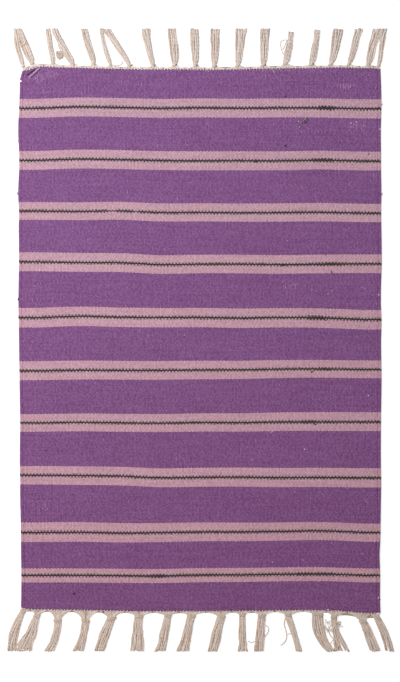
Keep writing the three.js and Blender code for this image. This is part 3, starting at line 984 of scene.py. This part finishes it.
def fringe_web(end):
    """The thin backing under the gathered warps, from inside the last pick out to the knots, painted
    dark as the shade between the warps.
    """
    side = ENDS[end]["outward"]
    knots = column(ENDS[end]["rows"], "knot")
    x = np.linspace(knots[0], knots[-1], SCALLOP_STEPS * (len(knots) - 1) + 1)
    inner = last_pick(end, x) - side * 0.8
    outer = last_pick(end, x) + side * (np.array([web_depth(end, place) for place in x]) - 0.6)
    grid = np.stack([
        np.column_stack([
            x,
            inner + (outer - inner) * point["out"] - side * point["back"],
            np.full_like(x, point["height"]),
        ])
        for point in WEB_SECTION
    ], 1)
    count, sides = grid.shape[:2]
    quads = ring_quads(count, sides)
    u, v = ring_map(np.arange(count) / (count - 1), sides)
    fan = np.array([(0, k, k + 1) for k in range(1, sides - 1)])
    far_fan = fan[:, ::-1]
    ends = np.concatenate([fan, far_fan + (count - 1) * sides])
    end_u = np.concatenate([fan, far_fan]) / sides
    end_v = np.repeat([0.0, 1.0], len(fan))[:, None] + 0 * end_u
    if side < 0:
        quads, ends, u, v, end_u, end_v = (part[:, ::-1] for part in (quads, ends, u, v, end_u, end_v))
    u, v = np.concatenate([u.ravel(), end_u.ravel()]), np.concatenate([v.ravel(), end_v.ravel()])
    looks = {name: np.tile(column(WEB_SECTION, name), count) for name in ("tone", "rise")}
    maps = {"fibre": np.stack([u, v * (knots[-1] - knots[0])], -1), "OFBake": np.stack([v, u], -1)}
    return fill_mesh(f"fringe_{end}_web", grid.reshape(-1, 3), [quads, ends], maps, looks)


# Materials

WHITE = (1.0, 1.0, 1.0)
FLOOR_PAINT = (0.70, 0.70, 0.71)
FLOOR_GLOW = 0.58
FLOOR_REACH = 12.0
FLOOR_TOP = -0.00005


def plug(tree, slot, value):
    """Links a term to a socket, or sets the socket to a plain value."""
    if isinstance(value, Term):
        tree.links.new(value.socket, slot)
    elif slot.type == "RGBA":
        slot.default_value = (*value, 1.0)
    else:
        slot.default_value = value


class Term:
    """A socket that can be added, multiplied and compared like a number."""

    def __init__(self, tree, socket):
        self.tree, self.socket = tree, socket

    def apply(self, operation, *others):
        node = self.tree.nodes.new("ShaderNodeMath")
        node.operation = operation
        for slot, value in zip(node.inputs, (self, *others)):
            plug(self.tree, slot, value)
        return Term(self.tree, node.outputs[0])

    __add__ = partialmethod(apply, "ADD")
    __sub__ = partialmethod(apply, "SUBTRACT")
    __mul__ = partialmethod(apply, "MULTIPLY")
    __truediv__ = partialmethod(apply, "DIVIDE")
    __pow__ = partialmethod(apply, "POWER")
    floor = partialmethod(apply, "FLOOR")
    fraction = partialmethod(apply, "FRACT")
    size = partialmethod(apply, "ABSOLUTE")
    sine = partialmethod(apply, "SINE")
    cosine = partialmethod(apply, "COSINE")
    least = partialmethod(apply, "MINIMUM")
    most = partialmethod(apply, "MAXIMUM")
    below = partialmethod(apply, "LESS_THAN")
    above = partialmethod(apply, "GREATER_THAN")

    def ramp(self, low, high):
        """0 at low and before, 1 at high and after, and smooth between."""
        node = self.tree.nodes.new("ShaderNodeMapRange")
        node.interpolation_type = "SMOOTHSTEP"
        for name, value in (("Value", self), ("From Min", low), ("From Max", high)):
            plug(self.tree, node.inputs[name], value)
        return Term(self.tree, node.outputs["Result"])


class Material:
    """A Principled material with short ways to reach and join its nodes."""

    def __init__(self, name, roughness, sheen=0.0):
        self.material = bpy.data.materials.new(name)
        self.material.use_nodes = True
        self.tree = self.material.node_tree
        self.surface = self.tree.nodes["Principled BSDF"]
        self.paint({
            "Roughness": roughness, "Specular IOR Level": 0.25,
            "Sheen Weight": sheen, "Sheen Roughness": 0.6,
        })

    def paint(self, inputs):
        """Sets or links inputs of the surface, by their names."""
        for name, value in inputs.items():
            plug(self.tree, self.surface.inputs[name], value)
        return self.material

    def node(self, kind, output=0, settings=(), **inputs):
        node = self.tree.nodes.new(kind)
        for name, value in dict(settings).items():
            setattr(node, name, value)
        for name, value in inputs.items():
            plug(self.tree, node.inputs[name], value)
        return Term(self.tree, node.outputs[output])

    def apart(self, vector):
        """The first two coordinates of a vector."""
        node = self.tree.nodes.new("ShaderNodeSeparateXYZ")
        plug(self.tree, node.inputs[0], vector)
        return Term(self.tree, node.outputs[0]), Term(self.tree, node.outputs[1])

    def uv(self, name):
        return self.apart(self.node("ShaderNodeUVMap", "UV", {"uv_map": name}))

    def place(self):
        """Where a point lies on the rug, in millimetres."""
        x, y = self.apart(self.node("ShaderNodeTexCoord", "Object"))
        return x * 1000.0, y * 1000.0

    def attribute(self, name, output="Fac"):
        return self.node("ShaderNodeAttribute", output, {"attribute_name": name})

    def vector(self, x, y, z=0.0):
        return self.node("ShaderNodeCombineXYZ", X=x, Y=y, Z=z)

    def noise(self, vector, detail=2.0, roughness=0.5):
        settings = {"Scale": 1.0, "Detail": detail, "Roughness": roughness}
        return self.node("ShaderNodeTexNoise", "Fac", Vector=vector, **settings)

    def random(self, vector):
        return self.node("ShaderNodeTexWhiteNoise", "Value", Vector=vector)

    def mix(self, share, first, second):
        node = self.tree.nodes.new("ShaderNodeMix")
        node.data_type = "RGBA"
        for slot, value in zip((0, 6, 7), (share, first, second)):
            plug(self.tree, node.inputs[slot], value)
        return Term(self.tree, node.outputs[2])

    def join(self, operation, first, second):
        """Two colours added, subtracted or multiplied, or a colour scaled by a factor."""
        node = self.tree.nodes.new("ShaderNodeVectorMath")
        node.operation = operation
        plug(self.tree, node.inputs[0], first)
        plug(self.tree, node.inputs["Scale" if operation == "SCALE" else 1], second)
        return Term(self.tree, node.outputs[0])

    def finish(self, colour, height, depth):
        bump = self.node("ShaderNodeBump", Strength=1.0, Distance=depth, Height=height)
        return self.paint({"Base Color": colour, "Normal": bump})


# The cloth's colours are painted a little darker towards the foot: painted shade.
PURPLE = {"head": (0.315, 0.129, 0.350), "foot": (0.293, 0.109, 0.295)}
PINK = {"head": (0.756, 0.456, 0.565), "foot": (0.752, 0.413, 0.509)}
PURPLE_BLOOM = (-0.02, 0.055, -0.03)
PINK_BLOOM = (-0.1, 0.08, 0.04)
WARMER = (1.03, 1.0, 0.965)
COOLER = (0.97, 1.0, 1.035)
CHARCOAL = (0.047, 0.051, 0.038)
BARE_WARP = (0.88, 0.56, 0.86)
CREAM = {"head": (0.915, 0.80, 0.735), "foot": (0.915, 0.78, 0.70)}
WARM_YARN = (1.08, 0.99, 0.94)
COOL_YARN = (0.93, 1.01, 1.06)
BROWN_CREAM = {"head": (0.60, 0.45, 0.34), "foot": (0.60, 0.42, 0.27)}
# Painted shadow: all but the pale fold colour stand in for the shade in the crease's troughs.
FOLD_COLOURS = {"pale": (0.72, 0.48, 0.72), "dark": (0.10, 0.035, 0.11), "black": (0.035, 0.02, 0.045)}
FOLD_STRENGTH = 0.9

# The weave, in picks: how far the line between two ribs winds, half the dark line's width, how
# far it steps from rib to rib and how ragged it is, and how far the edges of the stripes step.
BEAD_SWAY = 0.27
LINE_HALF = 1.74
LINE_STEP = 1.24
LINE_RAGGED = 0.4
DARK_DOME_HALF = 1.6
BORDER_STEP = 0.3

# How strongly each kind of unevenness shows in the weft.
UNEVEN = {
    "fleck": 0.22, "beside": 0.14, "streak": 0.62, "column": 0.1, "twin": 0.27, "mottle": 0.07,
    "cloud": 0.12,
}
PINK_CALM = 0.35
HOLLOW_LIGHT = 0.71
DOME_LIGHT = 0.36
GROOVE_SHADE = 0.22


def inverse(term):
    return term * -1.0 + 1.0


def toward_foot(y):
    """0 at the head and 1 at the foot."""
    return (y - HALF_LENGTH) * (-0.5 / HALF_LENGTH)


def from_line(picks, odd):
    """How many picks away the nearest dark line is. It steps up and down from rib to rib."""
    middles = [odd * LINE_STEP + (number - LINE_STEP / 2) for number in LINE_PICKS]
    return reduce(Term.least, [(picks - middle).size() for middle in middles])


def pink_stripes(picks, middle):
    """1 on the pink stripes. Their edges wind less than the dark line."""
    border = middle * BORDER_STEP + picks * (1 - BORDER_STEP)
    wide = reduce(Term.least, [(border - n).size() for n in LINE_PICKS[:-1]])
    narrow = (border - LINE_PICKS[-1]).size()
    return wide.below(float(BANDS[0]["picks"])).most(narrow.below(float(LAST_BAND["picks"])))


def line_thickening(x, y):
    """What the faults add to half the width of the dark line."""
    parts = []
    for fault in LINE_FAULTS:
        height = float(band_line(BANDS[fault["band"]], fault["x"]))
        near = (x - fault["x"]).size().ramp(fault["reach"] + 2, fault["reach"] - 1)
        parts.append(near * (y - height).size().below(8.0) * (fault["picks"] / 2))
    return reduce(Term.__add__, parts)


def open_weave(x, y, mottle):
    """How likely it is that bare warp shows: along the head's end, and in the open patches."""
    near_end = (y - HEAD_END).ramp(-6.2, -1.7)
    near_middle = (x - OPEN_EDGE["x"]).size().ramp(OPEN_EDGE["half"], OPEN_EDGE["full"])
    share = near_end * near_middle * OPEN_EDGE["share"]
    for patch in OPEN_PATCHES:
        u = (x - patch["x"]) / patch["wide"]
        v = (y - patch["y"]) / patch["high"]
        share = share.most((u * u + v * v).ramp(1.0, 0.35) * patch["share"])
    return share + mottle.ramp(0.5, 0.75) * STRAY_DOTS["mottled"] + STRAY_DOTS["anywhere"]


def creased(m, colour, x, y):
    """The crease: a pale worn line between folds painted dark as shadow."""
    along, across = crease_frame(x, y)
    for fold in FOLDS[::-1]:
        off = (across - along * fold["lean"] - fold["side"]).size()
        near_start = along.ramp(fold["from"] - 1, fold["from"] + 2)
        near_end = along.ramp(fold["to"] + 1, fold["to"] - 2)
        share = near_start * near_end * off.ramp(fold["half"] + 0.3, fold["half"] - 0.5) * FOLD_STRENGTH
        colour = m.mix(share, colour, FOLD_COLOURS[fold["look"]])
    return colour


def weft_cotton():
    """Weft-faced plain weave: every pick shows as beads over every second warp."""
    m = Material("weft_cotton", roughness=0.92, sheen=0.1)
    ribs, picks = m.uv("weave")
    x, y = m.place()
    # Each bead is widest at its middle, so the line between two ribs winds.
    ribs = ribs - (picks * math.pi).cosine() * (ribs * math.pi).cosine() * BEAD_SWAY
    rib = ribs.floor()
    odd = rib.apply("FLOORED_MODULO", 2.0)
    bead = (picks + odd) * 0.5
    number = bead.floor()
    pick = number * 2.0 - odd
    middle = pick + 1.0

    # Each bead is an oval dome: a runs across it and b along the warp.
    a = ribs.fraction() * 2.0 - 1.0
    b = bead.fraction() * 2.0 - 1.0
    dome = ((a * a + b * b) * -0.8 + 1.0).most(0.0) ** 0.5

    # The dark yarn is thicker than the others.
    line = from_line(picks, odd)
    ragged = (m.random(m.vector(rib, 3.0, middle.floor())) - 0.5) * LINE_RAGGED
    dark = (line - (line_thickening(x, y) + ragged + LINE_HALF)).below(0.0)
    dark_dome = ((line / DARK_DOME_HALF) ** 2 * -0.8 - a * a * 0.5 + 1.0).most(0.05) ** 0.5
    dome = dome + dark * (dark_dome - dome)

    # The warps that the odd picks cross stand out from the others here and there.
    fleck = m.random(m.vector(rib, number, odd))
    streak = m.noise(m.vector(ribs * 0.032, pick * 7.31), roughness=0.6)
    column = m.noise(m.vector(rib * 5.7, y * 0.03), detail=1.0)
    twin = (odd * 2.0 - 1.0) * (m.noise(m.vector(rib * 0.18, y * 0.03, 5.0), detail=1.0) - 0.5)
    beside_odd = inverse(odd)
    beside_number = ((picks + beside_odd) * 0.5).floor()
    beside = m.random(m.vector(rib + 1.0, beside_number, beside_odd))
    mottle = m.noise(m.vector(x * 0.07, y * 0.07), detail=4.0, roughness=0.65)
    cloud = m.noise(m.vector(x * 0.012, y * 0.012), detail=1.0)

    pink = pink_stripes(picks, middle)
    down = toward_foot(y)
    purple = m.mix(down, PURPLE["head"], PURPLE["foot"])
    colour = m.mix(pink, purple, m.mix(down, PINK["head"], PINK["foot"]))
    colour = m.mix(dark, colour, CHARCOAL)

    # Pale warp shows between the beads where the weave is open.
    open_bead = m.random(m.vector(rib, number, odd + 7.0)) - open_weave(x, y, mottle)
    dot = open_bead.below(0.0) * b.size().above(0.6) * a.size().below(0.75)
    colour = m.mix(dot * inverse(dark) * 0.8, colour, BARE_WARP)
    colour = creased(m, colour, x, y)

    offsets = {
        "fleck": fleck - 0.5, "beside": fleck - beside, "streak": streak - 0.5,
        "column": column - 0.5, "twin": twin, "mottle": mottle - 0.5, "cloud": cloud - 0.5,
    }
    tone = reduce(Term.__add__, [offsets[name] * strength for name, strength in UNEVEN.items()])
    tone = tone * (pink * -PINK_CALM + 1.0) + 1.0
    grooves = reduce(Term.__add__, [(ribs - float(g)).size().ramp(0.5, 0.15) for g in GROOVES])
    # Painted shade: the hollows between the beads and the grooves beside the selvedges are painted
    # darker.
    light = dome * DOME_LIGHT + HOLLOW_LIGHT - grooves * GROOVE_SHADE
    tint = m.mix(m.random(m.vector(rib, number, odd + 3.0)), WARMER, COOLER)
    # A brighter bead is also paler: the bloom follows its random tone, its own colour, and its painted
    # shade and light.
    bloom = m.mix(pink, PURPLE_BLOOM, PINK_BLOOM)
    colour = m.join("ADD", m.join("MULTIPLY", colour, tint), bloom)
    colour = m.join("SUBTRACT", m.join("SCALE", colour, tone * light), bloom)
    height = dome + (m.noise(m.vector(ribs * 9.0, picks * 5.0)) - 0.5) * 0.3
    return m.finish(colour, height, depth=0.0006)


def twisted_light(m, around, along, tone):
    """How bright a plied yarn is, with painted shade low on its sides and along its plies, and the
    height of its plies.
    """
    ply = ((around * 2.0 + along * (-2.0 / YARN_TWIST)) * (2 * math.pi)).sine()
    fibre = m.noise(m.vector(around * 9.0 + along * 0.35, along * 0.09, tone * 30.0))
    crown = (around * (2 * math.pi)).sine().ramp(-0.5, 0.85)
    light = crown * 0.09 + ply * 0.03 + (fibre - 0.5) * 0.2 + 0.885
    return light, ply * 0.5 + (fibre - 0.5) * 0.8


def warp_cotton():
    """Undyed cotton yarn, plied, with its fibres turning round it."""
    m = Material("warp_cotton", roughness=0.9, sheen=0.1)
    around, along = m.uv("fibre")
    tone, rise = m.attribute("tone"), m.attribute("rise")
    x, y = m.place()
    pale, deep = (m.mix(toward_foot(y), dye["head"], dye["foot"]) for dye in (CREAM, BROWN_CREAM))
    patch = m.noise(m.vector(x * 0.12, y * 0.12, tone * 9.0), detail=1.0)
    blotch = m.noise(m.vector(along * 0.05, tone * 50.0, around * 1.5))
    # Painted shade and light: a low rise paints a yarn browner and darker, a high rise paler and
    # brighter; the patches and blotches are its own colour.
    share = tone * 0.3 + patch.ramp(0.35, 0.7) * 0.2 + blotch.ramp(0.4, 0.7) * 0.4 + (rise * -0.25 + 0.1)
    colour = m.mix(share, pale, deep)
    tint = m.noise(m.vector(x * 0.3, y * 0.22, tone * 20.0), detail=1.0)
    colour = m.join("MULTIPLY", colour, m.mix(tint.ramp(0.2, 0.8), WARM_YARN, COOL_YARN))
    light, height = twisted_light(m, around, along, tone)
    colour = m.join("SCALE", colour, light * (rise * 0.1 + 0.905))
    return m.finish(colour, height, depth=0.00025)


def nep_cotton():
    """Stray fibre of any dye."""
    m = Material("nep_cotton", roughness=0.95)
    around, along = m.uv("fibre")
    light, height = twisted_light(m, around, along, around * 0.0)
    return m.finish(m.join("SCALE", m.attribute("dye", "Color"), light), height, depth=0.0002)


def floor_paint():
    m = Material("floor", roughness=0.9)
    return m.paint({"Base Color": FLOOR_PAINT, "Emission Color": WHITE, "Emission Strength": FLOOR_GLOW})


# Camera, light and floor

# The photo is this many pixels wide and high, and the middle of the rug is at this pixel.
PHOTO_SIZE = (400, 682)
RUG_MIDDLE = (200.4, 340.2)
MM_PER_PIXEL = 1.66
CAMERA_HEIGHT = 5.0
SENSOR = 36.0
LAMP_PLACE = (-1.0, 0.47, 1.6)
LAMP_SIZE = 2.2
LAMP_POWER = 35.5
ROOM_LIGHT = 0.225


def make_camera():
    data = bpy.data.cameras.new("camera")
    data.sensor_width = SENSOR
    pixel = MM_PER_PIXEL * MM
    data.lens = SENSOR * (CAMERA_HEIGHT - CREST * MM) / (PHOTO_SIZE[1] * pixel)
    data.clip_end = 100
    camera = show("camera", data)
    aside = (PHOTO_SIZE[0] / 2 - RUG_MIDDLE[0]) * pixel
    camera.location = (aside, (RUG_MIDDLE[1] - PHOTO_SIZE[1] / 2) * pixel, CAMERA_HEIGHT)
    bpy.context.scene.camera = camera


def make_light():
    """One large soft lamp, aimed at the middle of the rug."""
    data = bpy.data.lights.new("key", "AREA")
    data.shape = "DISK"
    data.size = LAMP_SIZE
    data.energy = LAMP_POWER
    lamp = show("key", data)
    lamp.location = LAMP_PLACE
    lamp.rotation_euler = (-Vector(LAMP_PLACE)).to_track_quat("-Z", "Y").to_euler()


def make_room():
    world = bpy.data.worlds.new("studio")
    world.use_nodes = True
    background = world.node_tree.nodes["Background"]
    background.inputs[0].default_value = (*WHITE, 1.0)
    background.inputs[1].default_value = ROOM_LIGHT
    bpy.context.scene.world = world
    bpy.context.scene.view_settings.view_transform = "Standard"


def make_floor():
    mesh = bpy.data.meshes.new("floor")
    corners = [(-1, -1), (1, -1), (1, 1), (-1, 1)]
    points = [(x * FLOOR_REACH, y * FLOOR_REACH, FLOOR_TOP) for x, y in corners]
    mesh.from_pydata(points, [], [(0, 1, 2, 3)])
    mesh.materials.append(floor_paint())
    ground = show("floor", mesh)


make_camera()
make_light()
make_room()
make_floor()
weft, warp = weft_cotton(), warp_cotton()

cloth = cloth_object()
cloth.data.materials.append(weft)
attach(cloth, "root")
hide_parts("cloth")

for end in ENDS:
    for make in (fringe_yarns, fringe_knots, fringe_web):
        piece = make(end)
        piece.data.materials.append(warp)
        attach(piece, "root")
        if make is fringe_yarns:
            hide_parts(f"fringe_{end}")

bits = neps()
bits.data.materials.append(nep_cotton())
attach(bits, "root")
